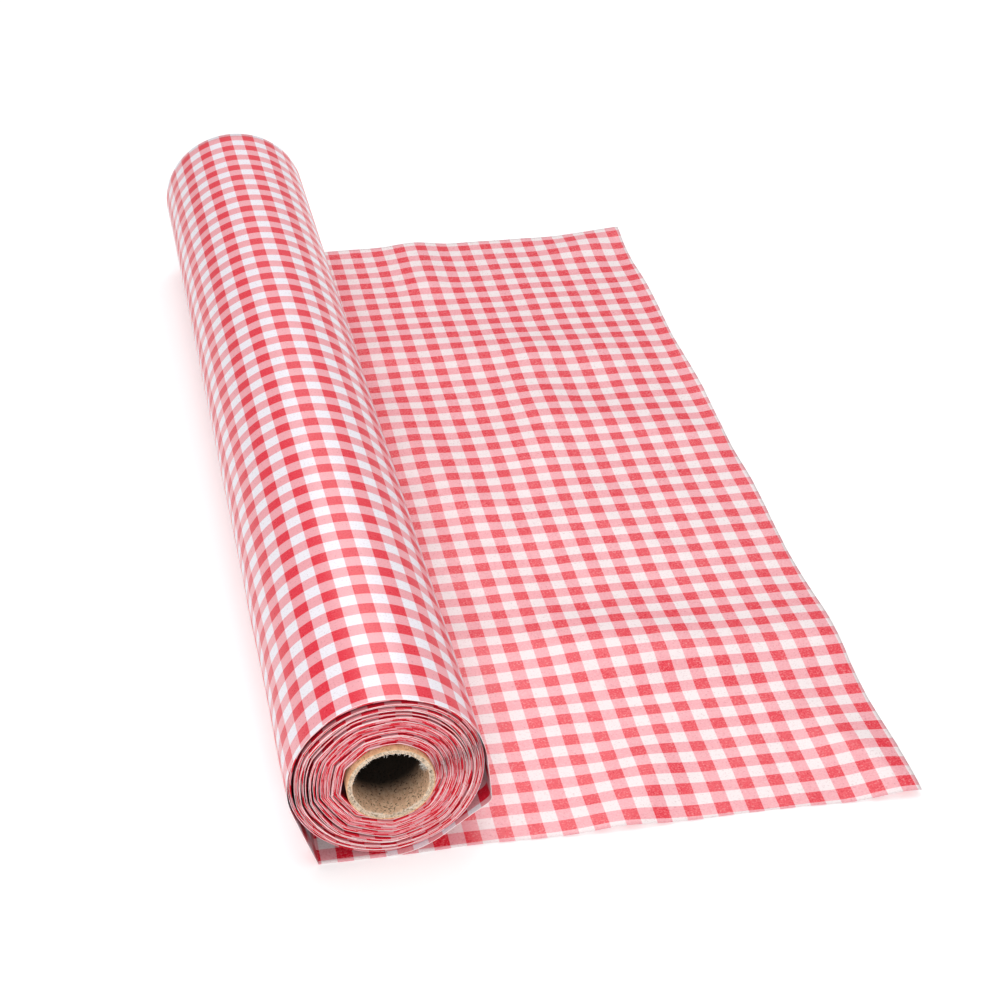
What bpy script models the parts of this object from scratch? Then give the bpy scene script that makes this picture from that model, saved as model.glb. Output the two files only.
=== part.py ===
"""Roll of printed table-cover film on a paperboard core, partly unrolled.

The film lies flat to the right (+X), passes under the roll, turns up at a crease on the
left, goes over the top and winds clockwise inwards, seen from the near (-Y) end.  The
roll lies along Y and stands on the plane Z = 0.  Lengths are in metres.
"""

import math

import bmesh
import bpy
from mathutils import Vector

OBJECT_NAME = "table_cover_roll"

# Film web
FILM_WIDTH = 1.016            # 40 in, the length of the roll
LAYER = 0.0006                # thickness given to a single layer of film
GAP = 0.0003                  # clearance between neighbouring solids
SLIDING_GAP = 0.0004          # clearance round the turns that spin inside the loose turn

# Roll
LOOSE_RADIUS = 0.0770         # outside of the loose turn where it hugs the roll
TURNS_RADIUS = LOOSE_RADIUS - LAYER - SLIDING_GAP
TURNS_BORE = 0.0361           # hollow that the inner turns leave round the core
TURN_GROUPS = ("outer_turns", "middle_turns", "inner_turns")

# Laid part of the film, measured from the roll's axis
LAID_NEAR = 0.434             # axis to the free edge at the near side
SKEW = math.radians(0.9)      # the laid film is turned by this against the roll
CREASE_REACH = 0.054          # axis to the floor crease on the left

# Loose turn: it stands away from the roll at two creases, most at the near end
KINK_DISTANCE = 0.0875        # axis to the crease on the right at the near end
KINK_ANGLE = math.radians(-22)
OPEN_LENGTH = 0.56            # stretch over which the creases close up towards the far end
LEAST_OPEN = 0.15             # share of the creases left at the far end
STATIONS = 11                 # cross-sections along OPEN_LENGTH
TOP_STEPS = 48
UNDERSIDE_STEPS = 8

# Core, spirally wound from paperboard plies
CORE_RADIUS = 0.0339
CORE_PLIES = (                # outermost first: name, thickness, colour
    ("core_outer_liner", 0.0005, (0.62, 0.36, 0.19)),
    ("core_body_ply_3", 0.00075, (0.50, 0.41, 0.32)),
    ("core_body_ply_2", 0.00075, (0.46, 0.38, 0.30)),
    ("core_body_ply_1", 0.00075, (0.50, 0.41, 0.32)),
    ("core_inner_liner", 0.00045, (0.44, 0.33, 0.22)),
)
CORE_REACH = 0.005            # the core stands out past the film at the near end
CORE_OFFSET = Vector((0.0015, 0, -0.0011))   # the core hangs a little off the roll's centre
TURNED_STEPS = 72

# Strip of tape that holds the film's first edge on the core
TAPE_THICKNESS = 0.0003
TAPE_WIDTH = 0.048
TAPE_ARC = math.radians(90)
TAPE_MIDDLE = math.radians(146)              # the side where the hollow is widest
TAPE_STEPS = 12

FILM_COLOUR = (0.78, 0.30, 0.34)
TAPE_COLOUR = (0.80, 0.78, 0.72)

# The part's origin is the middle of its footprint
AXIS_HEIGHT = LAYER + GAP + LOOSE_RADIUS
FREE_EDGE_FAR = LAID_NEAR + FILM_WIDTH * math.tan(SKEW)
AXIS_X = (LOOSE_RADIUS - FREE_EDGE_FAR) / 2
NEAR_OVERHANG = LAID_NEAR * math.tan(SKEW)
FAR_OVERHANG = CREASE_REACH * math.tan(SKEW)
NEAR_Y = (NEAR_OVERHANG - FAR_OVERHANG - FILM_WIDTH) / 2


def clear_scene():
    for obj in list(bpy.data.objects):
        bpy.data.objects.remove(obj, do_unlink=True)


def make_collection(name):
    collection = bpy.data.collections.new(name)
    bpy.context.scene.collection.children.link(collection)
    return collection


def make_material(name, colour, roughness):
    material = bpy.data.materials.new(name)
    material.use_nodes = True
    shader = material.node_tree.nodes["Principled BSDF"]
    shader.inputs["Base Color"].default_value = (*colour, 1)
    shader.inputs["Roughness"].default_value = roughness
    shader.inputs["Metallic"].default_value = 0
    return material


def add_mesh_object(name, mesh, colour, roughness):
    mesh.materials.append(make_material(name, colour, roughness))
    obj = bpy.data.objects.new(name, mesh)
    collection.objects.link(obj)
    return obj


def add_empty(name, location, parent=None):
    empty = bpy.data.objects.new(name, None)
    empty.empty_display_size = 0.05
    empty.location = location
    empty.parent = parent
    collection.objects.link(empty)
    return empty


def line_mesh(name, points, closed):
    """A profile of points joined in order."""
    mesh = bpy.data.meshes.new(name)
    edges = [(i, i + 1) for i in range(len(points) - 1)]
    if closed:
        edges.append((len(points) - 1, 0))
    mesh.from_pydata(points, edges, [])
    return mesh


def turn_about_z(obj, steps, angle):
    screw = obj.modifiers.new("Turn", "SCREW")
    screw.axis = "Z"
    screw.angle = angle
    screw.steps = steps
    screw.render_steps = steps
    screw.use_merge_vertices = angle == math.tau
    screw.merge_threshold = 0.00001
    screw.use_smooth_shade = True


def lay_along_y(obj, parent):
    """Lay a piece that was turned about Z along the roll."""
    obj.rotation_euler = (math.radians(-90), 0, 0)
    obj.parent = parent


def add_tube(name, radius, wall, colour, parent, near_reach=0):
    """A tube as long as the film is wide, and longer by near_reach at its near end."""
    far = FILM_WIDTH / 2
    near = -FILM_WIDTH / 2 - near_reach
    profile = [
        (radius, 0, far),
        (radius, 0, near),
        (radius - wall, 0, near),
        (radius - wall, 0, far),
    ]
    obj = add_mesh_object(name, line_mesh(name, profile, True), colour, 0.8)
    turn_about_z(obj, TURNED_STEPS, math.tau)
    lay_along_y(obj, parent)


def add_core(parent):
    """The core's plies, from the outside in."""
    centre = add_empty("core_centre", CORE_OFFSET, parent)
    radius = CORE_RADIUS
    for name, thickness, colour in CORE_PLIES:
        add_tube(name, radius, thickness, colour, centre, CORE_REACH)
        radius -= thickness + GAP
    add_start_tape(centre)


def add_start_tape(parent):
    half = TAPE_WIDTH / 2
    radius = CORE_RADIUS + GAP + TAPE_THICKNESS
    profile = [(radius, 0, half), (radius, 0, -half)]
    obj = add_mesh_object("start_tape", line_mesh("start_tape", profile, False), TAPE_COLOUR, 0.3)
    turn_about_z(obj, TAPE_STEPS, TAPE_ARC)
    solidify = obj.modifiers.new("Thickness", "SOLIDIFY")
    solidify.thickness = TAPE_THICKNESS
    solidify.offset = -1
    lay_along_y(obj, parent)
    obj.rotation_euler.rotate_axis("Z", -TAPE_MIDDLE - TAPE_ARC / 2)


def add_turn_groups(parent):
    """The wound film, split into rings at the slack between its turns."""
    pitch = (TURNS_RADIUS - TURNS_BORE + GAP) / len(TURN_GROUPS)
    for i, name in enumerate(TURN_GROUPS):
        add_tube(name, TURNS_RADIUS - i * pitch, pitch - GAP, FILM_COLOUR, parent)


def arc(radius, start, end, count):
    """Points on a circle round the roll's axis, from one angle down to another."""
    angles = [start + (end - start) * i / count for i in range(count + 1)]
    return [Vector((radius * math.cos(a), 0, radius * math.sin(a))) for a in angles]


def loose_section(openness):
    """Outer path of the loose turn: floor crease, left side, top, right crease, underside.

    The film leaves the round along the tangents of each crease point.
    """
    reach = CREASE_REACH * openness
    crease = Vector((-reach, 0, -LOOSE_RADIUS))
    rise_angle = math.radians(270) - 2 * math.atan2(reach, LOOSE_RADIUS)
    distance = LOOSE_RADIUS + (KINK_DISTANCE - LOOSE_RADIUS) * openness
    kink = Vector((distance * math.cos(KINK_ANGLE), 0, distance * math.sin(KINK_ANGLE)))
    spread = math.acos(LOOSE_RADIUS / distance)
    over_top = arc(LOOSE_RADIUS, rise_angle, KINK_ANGLE + spread, TOP_STEPS)
    underside = arc(LOOSE_RADIUS, KINK_ANGLE - spread, math.radians(-90), UNDERSIDE_STEPS)
    return [crease] + over_top + [kink] + underside


def add_loose_turn(parent):
    """The outermost turn, which hangs loose and creased round the others."""
    shares = [i / (STATIONS - 1) for i in range(STATIONS)]
    sections = [(s * OPEN_LENGTH, 1 - (1 - LEAST_OPEN) * s) for s in shares]
    sections.append((FILM_WIDTH, LEAST_OPEN))
    bm = bmesh.new()
    rows = []
    for y, openness in sections:
        along = Vector((0, y - FILM_WIDTH / 2, 0))
        rows.append([bm.verts.new(point + along) for point in loose_section(openness)])
    for near, far in zip(rows, rows[1:]):
        for i in range(len(near) - 1):
            bm.faces.new((near[i], near[i + 1], far[i + 1], far[i]))
    mesh = bpy.data.meshes.new("loose_turn")
    bm.to_mesh(mesh)
    bm.free()
    obj = add_mesh_object("loose_turn", mesh, FILM_COLOUR, 0.35)
    solidify = obj.modifiers.new("Thickness", "SOLIDIFY")
    solidify.thickness = LAYER
    solidify.use_even_offset = True
    solidify.offset = -1
    obj.parent = parent


def add_laid_panel():
    """The film that lies on the table, from the floor crease to its free edge."""
    near_y = NEAR_Y
    far_y = NEAR_Y + FILM_WIDTH
    drift = math.tan(SKEW)
    corners = [
        (AXIS_X - CREASE_REACH, near_y + CREASE_REACH * drift),
        (AXIS_X + LAID_NEAR, near_y - NEAR_OVERHANG),
        (AXIS_X + FREE_EDGE_FAR, far_y - NEAR_OVERHANG),
        (AXIS_X - CREASE_REACH, far_y + FAR_OVERHANG),
    ]
    curve = bpy.data.curves.new("laid_panel", "CURVE")
    curve.dimensions = "2D"
    curve.fill_mode = "BOTH"
    curve.extrude = LAYER / 2
    spline = curve.splines.new("POLY")
    spline.points.add(len(corners) - 1)
    for point, (x, y) in zip(spline.points, corners):
        point.co = (x, y, 0, 1)
    spline.use_cyclic_u = True
    curve.materials.append(make_material("laid_panel", FILM_COLOUR, 0.35))
    obj = bpy.data.objects.new("laid_panel", curve)
    obj.location = (0, 0, LAYER / 2)
    collection.objects.link(obj)


clear_scene()
collection = make_collection(OBJECT_NAME)
roll_axis = add_empty("roll_axis", (AXIS_X, NEAR_Y + FILM_WIDTH / 2, AXIS_HEIGHT))
add_laid_panel()
add_loose_turn(roll_axis)
add_turn_groups(roll_axis)
add_core(roll_axis)
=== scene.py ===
"""Looks of a partly unrolled roll of gingham table-cover film on a paperboard core.

The film is one web.  It lies flat to the right, passes under the roll, turns up at a crease
on the left and goes over the top as a loose turn, and then winds inwards to the core.
Film coordinates are in metres: s runs along the web, growing towards the laid free edge,
with 0 under the roll's axis, and w runs across it from the near edge.
"""

import math

import bpy
import numpy as np
from mathutils import Euler, Matrix, Vector


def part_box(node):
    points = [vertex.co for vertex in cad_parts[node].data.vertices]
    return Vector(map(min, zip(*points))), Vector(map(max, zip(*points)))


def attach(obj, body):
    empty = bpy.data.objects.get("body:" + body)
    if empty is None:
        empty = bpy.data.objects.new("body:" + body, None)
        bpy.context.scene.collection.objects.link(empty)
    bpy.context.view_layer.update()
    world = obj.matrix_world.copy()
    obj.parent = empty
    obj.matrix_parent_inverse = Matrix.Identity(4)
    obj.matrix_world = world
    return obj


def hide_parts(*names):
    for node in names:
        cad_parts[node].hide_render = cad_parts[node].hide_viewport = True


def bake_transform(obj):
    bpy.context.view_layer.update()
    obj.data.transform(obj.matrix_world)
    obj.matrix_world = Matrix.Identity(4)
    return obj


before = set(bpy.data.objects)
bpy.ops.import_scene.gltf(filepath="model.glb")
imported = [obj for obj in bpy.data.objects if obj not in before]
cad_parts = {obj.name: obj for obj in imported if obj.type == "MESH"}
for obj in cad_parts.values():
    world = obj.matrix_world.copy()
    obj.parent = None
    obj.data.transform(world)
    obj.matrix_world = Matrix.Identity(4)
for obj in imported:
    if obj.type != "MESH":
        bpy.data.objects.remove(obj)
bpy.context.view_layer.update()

# Places read from the frame
TURNS_LOW, TURNS_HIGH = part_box("outer_turns")
CORE_LOW, CORE_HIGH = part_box("core_outer_liner")
AXIS_X = (TURNS_LOW[0] + TURNS_HIGH[0]) / 2
AXIS_Z = (TURNS_LOW[2] + TURNS_HIGH[2]) / 2
NEAR_Y = TURNS_LOW[1]
WIDTH = TURNS_HIGH[1] - TURNS_LOW[1]
TURNS_RADIUS = (TURNS_HIGH[2] - TURNS_LOW[2]) / 2
CORE_RADIUS = (CORE_HIGH[2] - CORE_LOW[2]) / 2
CORE_X = (CORE_LOW[0] + CORE_HIGH[0]) / 2 - AXIS_X
CORE_Z = (CORE_LOW[2] + CORE_HIGH[2]) / 2 - AXIS_Z
CORE_NEAR, CORE_FAR = CORE_LOW[1], CORE_HIGH[1]

# Film
LAYER = 0.0002                # thickness shown for one layer
PERIOD = 0.0254               # one red and one white stripe of the check
COLUMN_AT = 0.425             # s of a red stripe across the web
ROW_AT = 0.014                # w of the first red stripe along the web
SKEW = math.radians(0.9)      # the laid film lies turned by this against the roll
LAID_SHIFT = (0.0007, 0.0035)    # added to s and w in the laid film's print

# Laid panel and loose turn, as in the CAD
LAID = 0.434                  # s of the free edge
CREASE_REACH = 0.054          # axis to the floor crease on the left
CREASE_HEIGHT = 0.0009
OPEN_LENGTH = 0.56            # the left crease closes up over this stretch
LEAST_OPEN = 0.15             # share of the left crease left at the far end
KINK_DISTANCE = 0.0875        # axis to the crease on the right at the near end
KINK_ANGLE = math.radians(-22)
KINK_LENGTH = 0.34            # the right crease closes up over this stretch
LOOSE_RADIUS = TURNS_RADIUS + 0.0008

# Wound film
TURNS = 84
PER_TURN = 120                # points in one turn
WOUND_LAYER = 0.00021
FACETS = 9                    # the innermost turns are loose polygons
FACET_START = 0.613           # angle of one of their corners
STEPPED_LENGTH = 0.05         # the turns' edges are stepped within this much of an end

# Seeds of the random draws
LAID_SEED = 3
LOOSE_SEED = 11
WOUND_SEED = 21
CORE_SEED = 40                # of the outermost ply; the next ones count up

# Camera at the photograph's angle
CAMERA_POINT = Vector((-0.3971, -1.7271, 1.1532))
CAMERA_AZIMUTH = math.radians(13.335)
CAMERA_DOWN = math.radians(33.525)
CAMERA_TILT = math.radians(1.918)
CAMERA_LENS = 77.92


# ---------------------------------------------------------------- camera and studio

def add_camera():
    camera = bpy.data.cameras.new("camera")
    camera.lens = CAMERA_LENS
    camera.sensor_width = 36
    camera.clip_end = 20
    obj = bpy.data.objects.new("camera", camera)
    turn = Euler((math.pi / 2 - CAMERA_DOWN, 0, -CAMERA_AZIMUTH)).to_matrix()
    obj.matrix_world = Matrix.Translation(CAMERA_POINT) @ (
        turn @ Matrix.Rotation(CAMERA_TILT, 3, "Z")).to_4x4()
    bpy.context.scene.collection.objects.link(obj)
    bpy.context.scene.camera = obj


def add_area_light(name, point, aim, size, power):
    light = bpy.data.lights.new(name, "AREA")
    light.shape = "RECTANGLE"
    light.size, light.size_y = size
    light.energy = power
    obj = bpy.data.objects.new(name, light)
    obj.location = point
    direction = Vector(aim) - Vector(point)
    obj.rotation_euler = direction.to_track_quat("-Z", "Y").to_euler()
    bpy.context.scene.collection.objects.link(obj)


def add_world():
    """A room that is brightest above and behind the roll and dim in front of it."""
    brightest = (0, 0.42, 0.91)
    world = bpy.data.worlds.new("studio")
    world.use_nodes = True
    bpy.context.scene.world = world
    tree = world.node_tree
    background = tree.nodes["Background"]
    background.inputs["Color"].default_value = (1, 1, 1, 1)
    direction = tree.nodes.new("ShaderNodeTexCoord").outputs["Generated"]
    towards = tree.nodes.new("ShaderNodeVectorMath")
    towards.operation = "DOT_PRODUCT"
    towards.inputs[1].default_value = brightest
    tree.links.new(direction, towards.inputs[0])
    strength = tree.nodes.new("ShaderNodeMapRange")
    strength.inputs["From Min"].default_value = -0.6
    strength.inputs["From Max"].default_value = 1
    strength.inputs["To Min"].default_value = 0.14
    strength.inputs["To Max"].default_value = 0.68
    tree.links.new(towards.outputs["Value"], strength.inputs["Value"])
    tree.links.new(strength.outputs["Result"], background.inputs["Strength"])


def add_floor():
    """A pale floor that glows a little, so that it comes out nearly white."""
    mesh = bpy.data.meshes.new("floor")
    side = 20
    mesh.from_pydata([(-side, -side, 0), (side, -side, 0), (side, side, 0), (-side, side, 0)],
                     [], [(0, 1, 2, 3)])
    floor = bpy.data.objects.new("floor", mesh)
    floor.location = (0, 0, -0.0003)
    bpy.context.scene.collection.objects.link(floor)
    material = bpy.data.materials.new("floor")
    material.use_nodes = True
    shader = material.node_tree.nodes["Principled BSDF"]
    shader.inputs["Base Color"].default_value = (0.82, 0.82, 0.82, 1)
    shader.inputs["Roughness"].default_value = 0.9
    shader.inputs["Specular IOR Level"].default_value = 0.1
    shader.inputs["Emission Color"].default_value = (1, 1, 1, 1)
    shader.inputs["Emission Strength"].default_value = 0.30
    mesh.materials.append(material)


def add_studio():
    bpy.context.scene.view_settings.view_transform = "Standard"
    add_world()
    add_area_light("back_softbox", (0.35, 2.2, 2.35), (0.1, -0.2, 0), (2.0, 0.5), 24)
    add_area_light("top_softbox", (-0.35, -0.25, 2.3), (-0.1, 0, 0), (1.5, 1.5), 14.5)
    add_area_light("front_softbox", (-0.5, -2.3, 1.1), (-0.17, -0.45, 0.05), (0.7, 0.6), 22)
    add_floor()


# ---------------------------------------------------------------- shader helpers

class Shader:
    """A material's node tree, with short calls for the nodes used here."""

    def __init__(self, name):
        self.material = bpy.data.materials.new(name)
        self.material.use_nodes = True
        self.tree = self.material.node_tree
        self.surface = self.tree.nodes["Principled BSDF"]

    def node(self, kind, **settings):
        node = self.tree.nodes.new(kind)
        for key, value in settings.items():
            setattr(node, key, value)
        return node

    def put(self, socket, value):
        """Link or set an input socket."""
        if isinstance(value, bpy.types.NodeSocket):
            self.tree.links.new(value, socket)
        else:
            socket.default_value = value

    def math(self, operation, *values):
        node = self.node("ShaderNodeMath", operation=operation)
        for socket, value in zip(node.inputs, values):
            self.put(socket, value)
        return node.outputs[0]

    def scaled(self, vector, scale):
        node = self.node("ShaderNodeVectorMath", operation="MULTIPLY")
        self.put(node.inputs[0], vector)
        self.put(node.inputs[1], scale)
        return node.outputs[0]

    def noise(self, vector, scale, detail=2.0, roughness=0.5):
        node = self.node("ShaderNodeTexNoise")
        self.put(node.inputs["Vector"], vector)
        node.inputs["Scale"].default_value = scale
        node.inputs["Detail"].default_value = detail
        node.inputs["Roughness"].default_value = roughness
        return node.outputs["Fac"]

    def ramp(self, value, stops):
        node = self.node("ShaderNodeValToRGB")
        elements = node.color_ramp.elements
        while len(elements) < len(stops):
            elements.new(0.5)
        for element, (place, colour) in zip(elements, stops):
            element.position = place
            element.color = (*colour, 1)
        self.put(node.inputs[0], value)
        return node.outputs[0]

    def mix(self, share, first, second, blend="MIX"):
        node = self.node("ShaderNodeMix", data_type="RGBA", blend_type=blend)
        self.put(node.inputs["Factor"], share)
        for socket, value in ((node.inputs[6], first), (node.inputs[7], second)):
            self.put(socket, (*value, 1) if isinstance(value, tuple) else value)
        return node.outputs[2]

    def span(self, value, low, high, to_low=0.0, to_high=1.0, smooth=False):
        node = self.node("ShaderNodeMapRange")
        node.interpolation_type = "SMOOTHSTEP" if smooth else "LINEAR"
        for socket, part in zip(node.inputs, (value, low, high, to_low, to_high)):
            self.put(socket, part)
        return node.outputs[0]

    def bump(self, height, distance, strength=1.0, normal=None):
        node = self.node("ShaderNodeBump")
        node.inputs["Distance"].default_value = distance
        node.inputs["Strength"].default_value = strength
        self.put(node.inputs["Height"], height)
        if normal is not None:
            self.put(node.inputs["Normal"], normal)
        return node.outputs[0]


# ---------------------------------------------------------------- film material

LAID_WHITE = (0.87, 0.765, 0.77)
LOOSE_WHITE = (0.86, 0.82, 0.88)
PINK_INK = (0.85, 0.36, 0.40)
RED_INK = (0.76, 0.010, 0.035)
# painted highlight: the pale colour of cut edges that catch the light
EDGE_HIGHLIGHT = (0.97, 0.92, 0.90)
# painted shade for the film deep inside the roll's ends
PAINTED_SHADE_INSIDE = (0.05, 0.005, 0.01)
DARK_FLECK = (0.42, 0.02, 0.03)


def stripe(shader, along, phase):
    """1 on a red stripe and 0 between, with edges about 0.4 mm soft."""
    cycles = shader.math("DIVIDE", shader.math("SUBTRACT", along, phase), PERIOD)
    from_edge = shader.math("ABSOLUTE", shader.math("SUBTRACT", shader.math("FRACT", cycles), 0.5))
    return shader.span(from_edge, 0.242, 0.258, smooth=True)


def laid_coordinates(shader):
    """Film coordinates from where a point lies, so the print stays put on the table."""
    place = shader.node("ShaderNodeTexCoord").outputs["Object"]
    wander = shader.node("ShaderNodeTexNoise", noise_dimensions="3D")
    shader.put(wander.inputs["Vector"], place)
    wander.inputs["Scale"].default_value = 7
    wander.inputs["Detail"].default_value = 1
    parts = shader.node("ShaderNodeSeparateXYZ")
    shader.put(parts.inputs[0], place)
    shifts = shader.node("ShaderNodeSeparateXYZ")
    shader.put(shifts.inputs[0], wander.outputs["Color"])
    x = shader.math("SUBTRACT", parts.outputs[0], AXIS_X)
    y = shader.math("SUBTRACT", parts.outputs[1], NEAR_Y)
    turned = []
    rows = ((math.cos(SKEW), -math.sin(SKEW), LAID_SHIFT[0]),
            (math.sin(SKEW), math.cos(SKEW), LAID_SHIFT[1]))
    for (a, b, shift), stray in zip(rows, shifts.outputs):
        straight = shader.math("ADD", shader.math("MULTIPLY", x, a), shader.math("MULTIPLY", y, b))
        strayed = shader.span(stray, 0, 1, shift - 0.0015, shift + 0.0015)
        turned.append(shader.math("ADD", straight, strayed))
    return turned[0], turned[1], place, None


def wound_coordinates(shader):
    """Film coordinates kept on the mesh."""
    film = shader.node("ShaderNodeAttribute", attribute_name="film").outputs["Vector"]
    parts = shader.node("ShaderNodeSeparateXYZ")
    shader.put(parts.inputs[0], film)
    return parts.outputs[0], parts.outputs[1], film, parts.outputs[2]


def film_material(name, coordinates, white, glint_share, edges=False):
    """Printed and embossed film with pale flecks, a painted highlight where the emboss glints.

    With edges, film z is 1 on a cut edge, which gets a painted highlight, and -1 deep inside the
    roll, which gets painted shade.
    """
    shader = Shader(name)
    s, w, place, mark = coordinates(shader)
    ink = shader.math("MULTIPLY", shader.math("ADD", stripe(shader, s, COLUMN_AT),
                                              stripe(shader, w, ROW_AT)), 0.5)
    colour = shader.ramp(ink, [(0.0, white), (0.5, PINK_INK), (1.0, RED_INK)])
    flecks = shader.noise(place, 620, 2, 0.6)
    # painted highlight: pale flecks towards white stand for the glints of the embossed film
    colour = shader.mix(shader.span(flecks, 0.52, 0.72, 0, glint_share), colour, white)
    dark_flecks = shader.span(flecks, 0.48, 0.30, 0, 0.20)
    colour = shader.mix(dark_flecks, colour, DARK_FLECK, "MULTIPLY")
    if edges:
        # painted shade: film deep inside the roll's end is darkened nearly to black
        colour = shader.mix(shader.span(mark, -1, 0, 0.85, 0), colour, PAINTED_SHADE_INSIDE)
        # painted highlight on the cut edges
        colour = shader.mix(shader.span(mark, 0.4, 0.6), colour, EDGE_HIGHLIGHT)
    shader.put(shader.surface.inputs["Base Color"], colour)
    shader.put(shader.surface.inputs["Roughness"], shader.span(flecks, 0.3, 0.7, 0.26, 0.42))
    shader.surface.inputs["Specular IOR Level"].default_value = 0.5
    emboss = shader.noise(place, 950, 2, 0.65)
    crumple = shader.noise(place, 55, 3, 0.55)
    soft = shader.bump(crumple, 0.0012, 0.18)
    shader.put(shader.surface.inputs["Normal"], shader.bump(emboss, 0.00012, 0.55, soft))
    return shader.material


# ---------------------------------------------------------------- mesh helpers

def smooth(x):
    """0 to 1 with level ends."""
    x = np.clip(x, 0, 1)
    return x * x * (3 - 2 * x)


def grid_object(name, points, material, thickness, film=None, flip=False):
    """A sheet from rows and columns of points.  film holds each point's (s, w, mark)."""
    rows, columns = points.shape[:2]
    index = np.arange(rows * columns).reshape(rows, columns)
    quads = np.stack([index[:-1, :-1], index[:-1, 1:], index[1:, 1:], index[1:, :-1]], axis=-1)
    quads = quads.reshape(-1, 4)
    if flip:
        quads = quads[:, ::-1]
    mesh = bpy.data.meshes.new(name)
    mesh.from_pydata(points.reshape(-1, 3).tolist(), [], quads.tolist())
    if film is not None:
        attribute = mesh.attributes.new("film", "FLOAT_VECTOR", "POINT")
        attribute.data.foreach_set("vector", film.reshape(-1).astype(np.float32))
    mesh.shade_smooth()
    mesh.materials.append(material)
    obj = bpy.data.objects.new(name, mesh)
    bpy.context.scene.collection.objects.link(obj)
    solidify = obj.modifiers.new("Thickness", "SOLIDIFY")
    solidify.thickness = thickness
    solidify.offset = -1
    solidify.use_even_offset = False
    bake_modifiers(obj)
    return obj


def bake_modifiers(obj):
    """Replace the mesh by its evaluated form."""
    depsgraph = bpy.context.evaluated_depsgraph_get()
    mesh = bpy.data.meshes.new_from_object(obj.evaluated_get(depsgraph), depsgraph=depsgraph)
    obj.modifiers.clear()
    obj.data = mesh


# ---------------------------------------------------------------- laid panel

# Ridges of the laid film: two ends in (s, w), height and half width, all in metres
RIDGES = (
    ((0.05, 0.275), (0.25, 0.225), 0.0020, 0.045),
    ((0.25, 0.222), (0.46, 0.208), 0.0064, 0.054),
    ((0.10, 0.780), (0.34, 0.745), 0.0026, 0.044),
    ((0.25, 0.580), (0.27, 0.730), 0.0030, 0.034),
    ((0.19, 1.030), (0.185, 0.93), 0.0042, 0.028),
    ((0.18, -0.01), (0.22, 0.060), 0.0042, 0.028),
    ((0.43, -0.01), (0.41, 0.050), 0.0060, 0.030),
    ((0.440, 0.58), (0.440, 1.000), 0.0030, 0.014),
    ((0.430, 1.02), (0.400, 0.995), 0.0060, 0.030),
    ((0.11, 0.640), (0.15, 0.480), 0.0020, 0.028),
    ((0.30, 0.620), (0.43, 0.560), 0.0016, 0.034),
    ((0.17, 0.140), (0.36, 0.124), 0.0012, 0.016),
)


def ridge(s, w, start, end, height, width):
    """Height of one soft ridge along a line."""
    along = np.array(end) - np.array(start)
    length = np.hypot(*along)
    along = along / length
    from_start = (s - start[0]) * along[0] + (w - start[1]) * along[1]
    across = (s - start[0]) * -along[1] + (w - start[1]) * along[0]
    beyond = np.maximum(np.maximum(-from_start, from_start - length), 0)
    return height * np.exp(-(across / width) ** 2 - (beyond / (1.6 * width)) ** 2)


def ripples(s, w, height, seed, shortest=0.03, longest=0.14, count=14):
    """Faint unevenness from a few crossing waves."""
    draw = np.random.default_rng(seed)
    total = np.zeros_like(s)
    for _ in range(count):
        length = draw.uniform(shortest, longest)
        angle = draw.uniform(0, math.pi)
        phase = draw.uniform(0, math.tau)
        total += np.sin((s * math.cos(angle) + w * math.sin(angle)) * math.tau / length + phase)
    return height * total / math.sqrt(count)


def laid_height(s, w):
    """Height of the laid film, which is level under the roll and waved beyond it."""
    waves = sum(ridge(s, w, *shape) for shape in RIDGES) + ripples(s, w, 0.00035, LAID_SEED)
    beyond_roll = smooth((s - 0.03) / 0.07)
    return 0.0004 + np.maximum(waves + 0.0006, 0) * beyond_roll


def laid_points(s, w):
    """Places of the laid film's points.  Its free and near edges run a little unevenly."""
    along = s + 0.0012 * np.sin(w * 31) * smooth((s - 0.40) / 0.03)
    pull = 0.0016 * np.sin(s * 24 + 0.6) * np.exp(-w / 0.03)
    across = w + pull * smooth((s - 0.02) / 0.05)
    x = AXIS_X + along * math.cos(SKEW) + across * math.sin(SKEW)
    y = NEAR_Y - along * math.sin(SKEW) + across * math.cos(SKEW)
    return np.stack([x, y, laid_height(s, w)], axis=-1)


def add_laid_panel():
    """The film on the table, with the shallow waves that it keeps from the roll.
    """
    share = np.linspace(0, 1, 150)[None, :]
    w = np.linspace(0, WIDTH, 300)[:, None]
    s_crease = (-CREASE_REACH - w * math.sin(SKEW)) / math.cos(SKEW)
    s = s_crease + (LAID - s_crease) * share
    w = w + 0 * s
    material = film_material("laid_film", laid_coordinates, LAID_WHITE, 0.30)
    panel = grid_object("laid_film", laid_points(s, w), material, LAYER)
    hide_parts("laid_panel")
    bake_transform(panel)


# ---------------------------------------------------------------- loose turn

# s of the print at the roll's top, at the near and the far end
TOP_S_NEAR = 0.2053
TOP_S_FAR = 0.2192


def arc_points(start, end, count):
    angles = np.linspace(start, end, count)
    return LOOSE_RADIUS * np.stack([np.cos(angles), np.sin(angles)], axis=-1)


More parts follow.
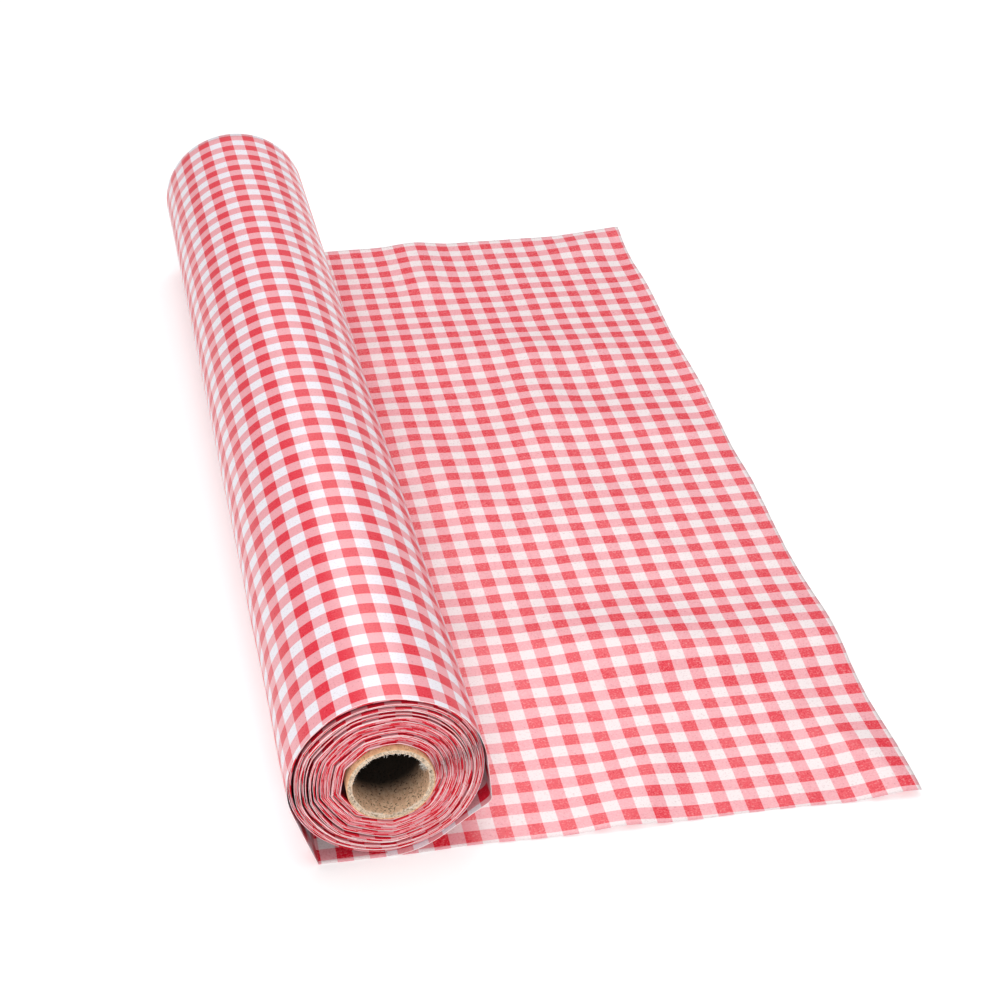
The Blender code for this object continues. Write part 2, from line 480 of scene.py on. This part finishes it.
def loose_section(left_open, right_open):
    """Outer path from the floor crease over the top to the underside, in roll coordinates (x, z)."""
    drop = CREASE_HEIGHT - AXIS_Z
    reach = max(CREASE_REACH * left_open, 0.004)
    crease = np.array([-reach, drop])
    rise = 1.5 * math.pi - 2 * math.atan2(reach, LOOSE_RADIUS)
    distance = LOOSE_RADIUS + (KINK_DISTANCE - LOOSE_RADIUS) * max(right_open, 0.02)
    kink = distance * np.array([math.cos(KINK_ANGLE), math.sin(KINK_ANGLE)])
    spread = math.acos(LOOSE_RADIUS / distance)
    top = arc_points(rise, KINK_ANGLE + spread, 110)
    under = arc_points(KINK_ANGLE - spread, -math.pi / 2, 26)
    steps = np.linspace(0, 1, 16)[:, None]
    left = crease + (top[0] - crease) * steps
    right_down = top[-1] + (kink - top[-1]) * steps
    right_back = kink + (under[0] - kink) * steps
    path = np.concatenate([left[:-1], top, right_down[1:], right_back[1:-1], under])
    for _ in range(3):
        path[1:-1] = (path[:-2] + 2 * path[1:-1] + path[2:]) / 4
    return path


def length_at_top(path, length):
    """Length along the path where it passes over the roll's axis."""
    above = path[:, 1] > LOOSE_RADIUS / 2
    return np.interp(0, path[above, 0], length[above])


def loose_paths(y):
    """Outer paths of the loose turn at distances y from its near end."""
    left_open = LEAST_OPEN + (1 - LEAST_OPEN) * (1 - smooth(y / OPEN_LENGTH))
    right_open = 1 - smooth(y / KINK_LENGTH)
    return np.array([loose_section(*opened) for opened in zip(left_open, right_open)])


def lengths_along(paths):
    """Length from each path's start to each of its points."""
    steps = np.hypot(*np.moveaxis(np.diff(paths, axis=1), -1, 0))
    return np.concatenate([np.zeros((len(paths), 1)), np.cumsum(steps, axis=1)], axis=1)


def loose_points(paths, s, w):
    """Places of the loose turn's points, with slight swellings and an uneven near edge."""
    swell = ripples(s, w * 0.35, 0.00022, LOOSE_SEED, 0.02, 0.09)
    lift = 1 + np.maximum(swell, -0.0001) / LOOSE_RADIUS
    edge = 0.0011 * np.sin(s * 60) * np.exp(-w / 0.01)
    x = AXIS_X + paths[..., 0] * lift
    z = np.maximum(AXIS_Z + paths[..., 1] * lift, 0.0008)
    return np.stack([x, NEAR_Y + w + edge, z], axis=-1)


def add_loose_turn():
    """The loose outer turn, creased low on the left and half way up on the right.

    It gives back the film coordinate s at its inner end.
    """
    near = 0.7 * np.linspace(0, 1, 120) ** 1.5
    y = np.concatenate([near, np.linspace(0.7, WIDTH, 32)[1:]])
    paths = loose_paths(y)
    length = lengths_along(paths)
    at_top = np.array([length_at_top(*pair) for pair in zip(paths, length)])
    top_s = TOP_S_NEAR + (TOP_S_FAR - TOP_S_NEAR) * y / WIDTH
    s = at_top[:, None] - length - top_s[:, None]
    w = y[:, None] + 0 * s
    printed_w = w + 0.0024 * np.exp(-w / 0.17)
    # the near cut edge of the loose turn gets the painted highlight
    highlit_edge = w < 0.0001
    film = np.stack([s, printed_w, highlit_edge], axis=-1)
    material = film_material("loose_film", wound_coordinates, LOOSE_WHITE, 0.08, edges=True)
    turn = grid_object("loose_film_turn", loose_points(paths, s, w), material, LAYER, film)
    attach(turn, "outer_turn")
    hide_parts("loose_turn")
    return float(s[0, -1])


# ---------------------------------------------------------------- wound turns

def core_surface(angle):
    """Distance from the roll's axis to the outside of the core, which sits a little off it."""
    towards = CORE_X * np.cos(angle) + CORE_Z * np.sin(angle)
    across = CORE_Z * np.cos(angle) - CORE_X * np.sin(angle)
    return towards + np.sqrt(CORE_RADIUS ** 2 - across ** 2)


def polygon(angle, sides, start):
    """Distance to a regular polygon whose flats are 1 from its centre."""
    half = math.pi / sides
    return 1 / np.cos((angle - start) % (2 * half) - half)


def turn_bundles(draw):
    """First turns of the bundles of two to six tight turns, counted in from the outside."""
    starts = np.cumsum(draw.integers(2, 7, TURNS))
    return np.concatenate([[0], starts[starts < TURNS]])


def slack_places(draw, starts):
    """The slack in front of each bundle: its turn, the amount in turns, and its side."""
    slacks = []
    for start in starts[1:]:
        wide = draw.uniform() < 0.6 and start > 6
        amount = draw.uniform(2, 4) if wide else draw.uniform(0.5, 1.2)
        slacks.append((start, amount, math.pi + draw.normal(0.25, 0.9)))
    return slacks


def by_turn(u, values):
    """Values held over each turn, changing in its last fifth."""
    turns = np.arange(len(values))
    knots = np.stack([turns, turns + 0.8], axis=-1).ravel()
    return np.interp(u, knots, np.repeat(values, 2))


def wound_in(turns, angle, slacks):
    """Turns and slack passed on the way in, with each slack widest on its own side."""
    total = turns + 0 * angle
    for place, amount, side in slacks:
        opened = amount * (1 + 0.8 * np.cos(angle - side))
        total = total + opened * (np.tanh((turns - place) / 0.22) + 1) / 2
    return total


def unevenness(u, angle, share):
    """Facets near the core, a dent at the lower left and faint waves between."""
    facets = 0.038 * (polygon(angle, FACETS, FACET_START) - 1) * share ** 0.6
    facets = facets * (0.6 + 0.4 * np.cos(angle - math.radians(215)))
    dent = 0.0013 * np.exp(-((share - 0.62) / 0.2) ** 2)
    dent = dent * (np.cos(angle - math.radians(228)).clip(0) ** 6 - 0.3)
    wavy = 0.0005 * np.sin(7 * angle + 1.5 * np.sin(u / 9)) * smooth(share * 2) * (1 - smooth(share))
    return facets - dent + wavy


def winding(u, angle, slacks):
    """Radius of the film u turns in from the outside."""
    share = wound_in(u, angle, slacks) / wound_in(TURNS, angle, slacks)
    outside = TURNS_RADIUS - 0.0002 - 0.0004 * (1 - np.cos(3 * (angle - 0.8)))
    hollow = 0.0022 * np.clip(np.cos(angle - math.radians(192)), 0, 1) ** 4
    inside = core_surface(angle) + 0.0003 + hollow
    return outside + (inside - outside) * share + unevenness(u, angle, share)


def end_steps(draw, u, bundle):
    """How far each turn's edge lies in from the web's edge, much the same within a bundle."""
    steps = draw.uniform(0, 0.0044, len(bundle))[bundle] + draw.uniform(0, 0.0004, len(bundle))
    waves = 0.0003 * (1 + np.sin(u * math.tau * 3 + u * 1.7))
    flush_at_core = 1 - 0.8 * smooth((u - TURNS + 6) / 5)
    return by_turn(u, steps) * flush_at_core + waves


def pale_edges(draw, u, bundle):
    """1 where a cut edge catches the light, mostly on the first turn of a bundle."""
    first = np.diff(bundle, prepend=-1) > 0
    return by_turn(u, draw.uniform(0, 1, len(bundle)) < np.where(first, 0.8, 0.08))


def edge_rows():
    """Rows of points across the web, closest together at its two edges."""
    near = np.array([0, 0.0008, 0.002, 0.005, 0.012, 0.05, 0.5])
    return np.concatenate([near, WIDTH - near[:-1][::-1]])


def stepped_rows(draw, u, bundle, rows):
    """Places of the rows along the roll, where the turns' edges don't lie flush."""
    near_steps = end_steps(draw, u, bundle)[:, None]
    far_steps = end_steps(draw, u, bundle)[:, None]
    near_share = 1 - smooth(rows / STEPPED_LENGTH)
    far_share = 1 - smooth((WIDTH - rows) / STEPPED_LENGTH)
    return rows[None, :] + near_steps * near_share - far_steps * far_share


def print_drift(s, u):
    """How far the print wanders across the web as the film winds inwards."""
    drift = 0.0105 + 0.0034 * np.sin(s / 1.31 + 0.4) + 0.001 * np.sin(s / 0.37)
    return drift * smooth(u / 3)


def wound_marks(pale, rows):
    """1 for cut edges that get a painted highlight, and -1 for film deep inside the roll, which gets
    painted shade.
    """
    depth = np.minimum(rows, WIDTH - rows)
    # painted shade: -1 from about half a millimetre in from the web's edges
    mark = -smooth((depth - 0.0005) / 0.004) + 0 * pale[:, None]
    # the outermost rows carry the painted highlight of the cut edges
    mark[:, [0, -1]] = pale[:, None]
    return mark


def add_wound_film(s_start):
    """The rest of the web, wound in to the core as one spiral."""
    u = np.arange(TURNS * PER_TURN + 1) / PER_TURN
    angle = -math.pi / 2 - math.tau * u
    draw = np.random.default_rng(WOUND_SEED)
    starts = turn_bundles(draw)
    bundle = np.searchsorted(starts, np.arange(TURNS + 2), side="right") - 1
    radius = winding(u, angle, slack_places(draw, starts))
    x, z = radius * np.cos(angle), radius * np.sin(angle)
    steps = np.hypot(np.diff(x), np.diff(z))
    s = s_start - np.concatenate([[0], np.cumsum(steps)])
    rows = edge_rows()
    y = stepped_rows(draw, u, bundle, rows)
    mark = wound_marks(pale_edges(draw, u, bundle), rows)
    skewed = s[:, None] - (TOP_S_FAR - TOP_S_NEAR) * y / WIDTH
    x = AXIS_X + x[:, None] + 0 * y
    z = AXIS_Z + z[:, None] + 0 * y
    points = np.stack([x, NEAR_Y + y, z], axis=-1)
    film = np.stack([skewed, y + print_drift(s, u)[:, None], mark], axis=-1)
    material = film_material("wound_film", wound_coordinates, LOOSE_WHITE, 0.0, edges=True)
    wound = grid_object("wound_film", points, material, WOUND_LAYER, film, flip=True)
    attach(wound, "roll")
    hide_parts("outer_turns", "middle_turns", "inner_turns")


# ---------------------------------------------------------------- core

TORN_BOARD = (0.88, 0.80, 0.70)
PLY_GAP = 0.00008             # what is left open between two plies
INNER_LINER = 0.00045         # thickness of the innermost ply
FIBRE_RINGS = 5
FIBRE_TAPER = (1, 1, 0.9, 0.7, 0.35)


def board_material(name, pale, dark, speck, shaded_bore=False):
    """Recycled paperboard: matted fibres, darker specks and a soft relief."""
    shader = Shader(name)
    place = shader.node("ShaderNodeTexCoord").outputs["Object"]
    fibres = shader.noise(shader.scaled(place, (1, 0.4, 1)), 420, 6, 0.75)
    patches = shader.noise(place, 60, 3)
    middle = tuple((a + b) / 2 for a, b in zip(pale, dark))
    mottle = shader.math("ADD", shader.math("MULTIPLY", fibres, 0.8),
                         shader.math("MULTIPLY", patches, 0.2))
    colour = shader.ramp(mottle, [(0.38, dark), (0.50, middle), (0.62, pale)])
    specks = shader.noise(place, 520, 3, 0.6)
    colour = shader.mix(shader.span(specks, 0.56, 0.64, 0, 0.85), colour, speck)
    # painted shade deep inside the bore
    if shaded_bore:
        colour = paint_bore_shade(shader, place, colour)
    shader.put(shader.surface.inputs["Base Color"], colour)
    shader.surface.inputs["Roughness"].default_value = 0.92
    shader.surface.inputs["Specular IOR Level"].default_value = 0.2
    shader.put(shader.surface.inputs["Normal"], shader.bump(fibres, 0.0006, 0.8))
    return shader.material


def paint_bore_shade(shader, place, colour):
    """Painted shade: darker away from the ends, where the bore lies nearly black in its own shade."""
    parts = shader.node("ShaderNodeSeparateXYZ")
    shader.put(parts.inputs[0], place)
    y = parts.outputs[1]
    depth = shader.math("MINIMUM", shader.math("SUBTRACT", y, CORE_NEAR),
                        shader.math("SUBTRACT", CORE_FAR, y))
    shade = shader.span(depth, 0.006, 0.040, 1.0, 0.02, smooth=True)
    darkened = shader.node("ShaderNodeVectorMath", operation="SCALE")
    shader.put(darkened.inputs[0], colour)
    shader.put(darkened.inputs["Scale"], shade)
    ragged = shader.span(shader.noise(place, 300, 3), 0.40, 0.62, 0.0, 0.9)
    torn = shader.math("MULTIPLY", shader.span(depth, 0.0008, 0.0026, 1, 0), ragged)
    return shader.mix(torn, darkened.outputs[0], TORN_BOARD)


def torn_ends(draw, around, rough):
    """Ragged offsets round both ends of a ply, with a few deep nicks."""
    fine = draw.uniform(0, 1, (2, around)) ** 2
    broad = draw.uniform(0, 1, (2, around))
    broad = sum(np.roll(broad, i, 1) for i in range(7)) / 7
    return rough * (fine + broad)


def ply_profile(outer, inner):
    """Half of a ply's cross-section as (distance from the end, radius, share of the tear)."""
    bevel = (outer - inner) * 0.22
    return ((0.02, outer, 0), (0.004, outer, 0.3), (bevel, outer, 1), (0, outer - bevel, 1),
            (0, (outer + inner) / 2, 1), (0, inner + bevel, 1), (bevel, inner, 1),
            (0.004, inner, 0.3), (0.02, inner, 0))


def ring_faces(loops, around):
    """Quads that join closed loops of points, the last loop to the first."""
    faces = []
    for i in range(loops):
        j = (i + 1) % loops
        for k in range(around):
            m = (k + 1) % around
            faces.append((i * around + k, i * around + m, j * around + m, j * around + k))
    return faces


def ply_mesh(outer, inner, rough, draw):
    """A closed tube round the core's axis whose cut ends are a little torn."""
    around = 240
    angle = np.arange(around) / around * math.tau
    tear = torn_ends(draw, around, rough)
    distance, radius, share = (np.array(c)[:, None] for c in zip(*ply_profile(outer, inner)))
    y = np.concatenate([CORE_NEAR + distance + share * tear[0],
                        (CORE_FAR - distance - share * tear[1])[::-1]])
    share = np.concatenate([share, share[::-1]])
    r = np.concatenate([radius, radius[::-1]]) + 0 * y
    r = r + share * draw.uniform(-0.15, 0.15, r.shape) * rough
    x = AXIS_X + CORE_X + r * np.cos(angle)
    z = AXIS_Z + CORE_Z + r * np.sin(angle)
    points = np.stack([x, y, z], axis=-1).reshape(-1, 3)
    return points.tolist(), ring_faces(len(y), around)


def fibre_mesh(radius, draw):
    """Torn paper fibres round the near mouth of the bore, longest at the upper right."""
    points, faces = [], []
    angles = np.concatenate([draw.uniform(0.25, 3.0, 110), draw.normal(0.52, 0.07, 16)])
    lengths = np.concatenate([draw.uniform(0.0006, 0.0026, 110), draw.uniform(0.003, 0.0062, 16)])
    for angle, length in zip(angles, lengths):
        at = angle + np.cumsum(draw.uniform(-0.02, 0.02, FIBRE_RINGS)) * length / 0.003
        along = np.linspace(0, 1, FIBRE_RINGS)
        inwards = along ** 1.3 * length * draw.uniform(0.4, 1.0)
        y = CORE_NEAR + 0.0008 + along * draw.uniform(-0.5, 0.6) * length
        thick = draw.uniform(0.00012, 0.0003) * np.array(FIBRE_TAPER)
        faces += fibre_faces(len(points))
        for ring in zip(at, radius + 0.0003 - inwards, y, thick):
            points += fibre_ring(radius, *ring)
    return points, faces


def fibre_ring(bore, angle, radius, y, thick):
    """Three points round a fibre."""
    points = []
    for corner in (0, math.tau / 3, 2 * math.tau / 3):
        r = radius + thick * math.cos(corner)
        turned = angle + thick * math.sin(corner) / bore
        points.append((AXIS_X + CORE_X + r * math.cos(turned),
                       y + thick * math.sin(corner + 0.8),
                       AXIS_Z + CORE_Z + r * math.sin(turned)))
    return points


def fibre_faces(first):
    """Faces of one fibre whose points start at first: its sides and its two ends."""
    faces = []
    for i in range(FIBRE_RINGS - 1):
        ring, following = first + 3 * i, first + 3 * (i + 1)
        for k in range(3):
            m = (k + 1) % 3
            faces.append((ring + k, ring + m, following + m, following + k))
    last = first + 3 * (FIBRE_RINGS - 1)
    faces.append((first, first + 2, first + 1))
    faces.append((last, last + 1, last + 2))
    return faces


def core_object(name, parts):
    """One object on the roll from parts of (points, faces, material)."""
    points, faces, slots = [], [], []
    mesh = bpy.data.meshes.new(name)
    for slot, (part_points, part_faces, material) in enumerate(parts):
        first = len(points)
        points += part_points
        faces += [tuple(first + i for i in face) for face in part_faces]
        slots += [slot] * len(part_faces)
        mesh.materials.append(material)
    mesh.from_pydata(points, [], faces)
    mesh.polygons.foreach_set("material_index", slots)
    mesh.shade_smooth()
    obj = bpy.data.objects.new(name, mesh)
    bpy.context.scene.collection.objects.link(obj)
    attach(obj, "roll")
    return obj


def add_core():
    kraft = board_material("core_kraft", (0.84, 0.54, 0.31), (0.62, 0.35, 0.19), (0.40, 0.22, 0.12))
    board = board_material("core_board", (0.90, 0.74, 0.58), (0.40, 0.29, 0.20), (0.12, 0.09, 0.07))
    # the inside liner gets painted shade deep in the bore
    inside = board_material("core_inside", (1.00, 0.72, 0.49), (0.70, 0.43, 0.27), (0.05, 0.03, 0.02),
                            shaded_bore=True)
    fibre = board_material("core_fibre", (0.90, 0.86, 0.80), (0.72, 0.66, 0.58), (0.55, 0.48, 0.40))
    plies = (
        ("core_kraft_liner", "core_outer_liner", "core_liner", kraft, 0.0002),
        ("core_board_3", "core_body_ply_3", "core_board", board, 0.0005),
        ("core_board_2", "core_body_ply_2", "core_board", board, 0.0006),
        ("core_board_1", "core_body_ply_1", "core_board", board, 0.0007),
        ("core_inside_liner", "core_inner_liner", "core_inside", inside, 0.0010),
    )
    outers = [(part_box(node)[1][2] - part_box(node)[0][2]) / 2 for _, node, _, _, _ in plies]
    inners = [radius + PLY_GAP for radius in outers[1:]] + [outers[-1] - INNER_LINER]
    for number, (ply, outer, inner) in enumerate(zip(plies, outers, inners)):
        name, node, slot, material, rough = ply
        draw = np.random.default_rng(CORE_SEED + number)
        parts = [(*ply_mesh(outer, inner, rough, draw), material)]
        if name == "core_inside_liner":
            parts.append((*fibre_mesh(inner, draw), fibre))
        obj = core_object(name, parts)
        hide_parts(node)


def finish_start_tape():
    """The tape stays as the CAD shape, with a satin plastic finish."""
    shader = Shader("start_tape")
    place = shader.node("ShaderNodeTexCoord").outputs["Object"]
    grain = shader.noise(shader.scaled(place, (1, 6, 1)), 160, 4)
    shader.put(shader.surface.inputs["Base Color"],
               shader.ramp(grain, [(0.3, (0.72, 0.69, 0.60)), (0.7, (0.84, 0.82, 0.76))]))
    shader.surface.inputs["Roughness"].default_value = 0.3
    shader.put(shader.surface.inputs["Normal"], shader.bump(grain, 0.0001, 0.4))
    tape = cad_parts["start_tape"]
    tape.data.materials.clear()
    tape.data.materials.append(shader.material)


add_camera()
add_studio()
add_laid_panel()
s_inside = add_loose_turn()
add_wound_film(s_inside)
add_core()
finish_start_tape()
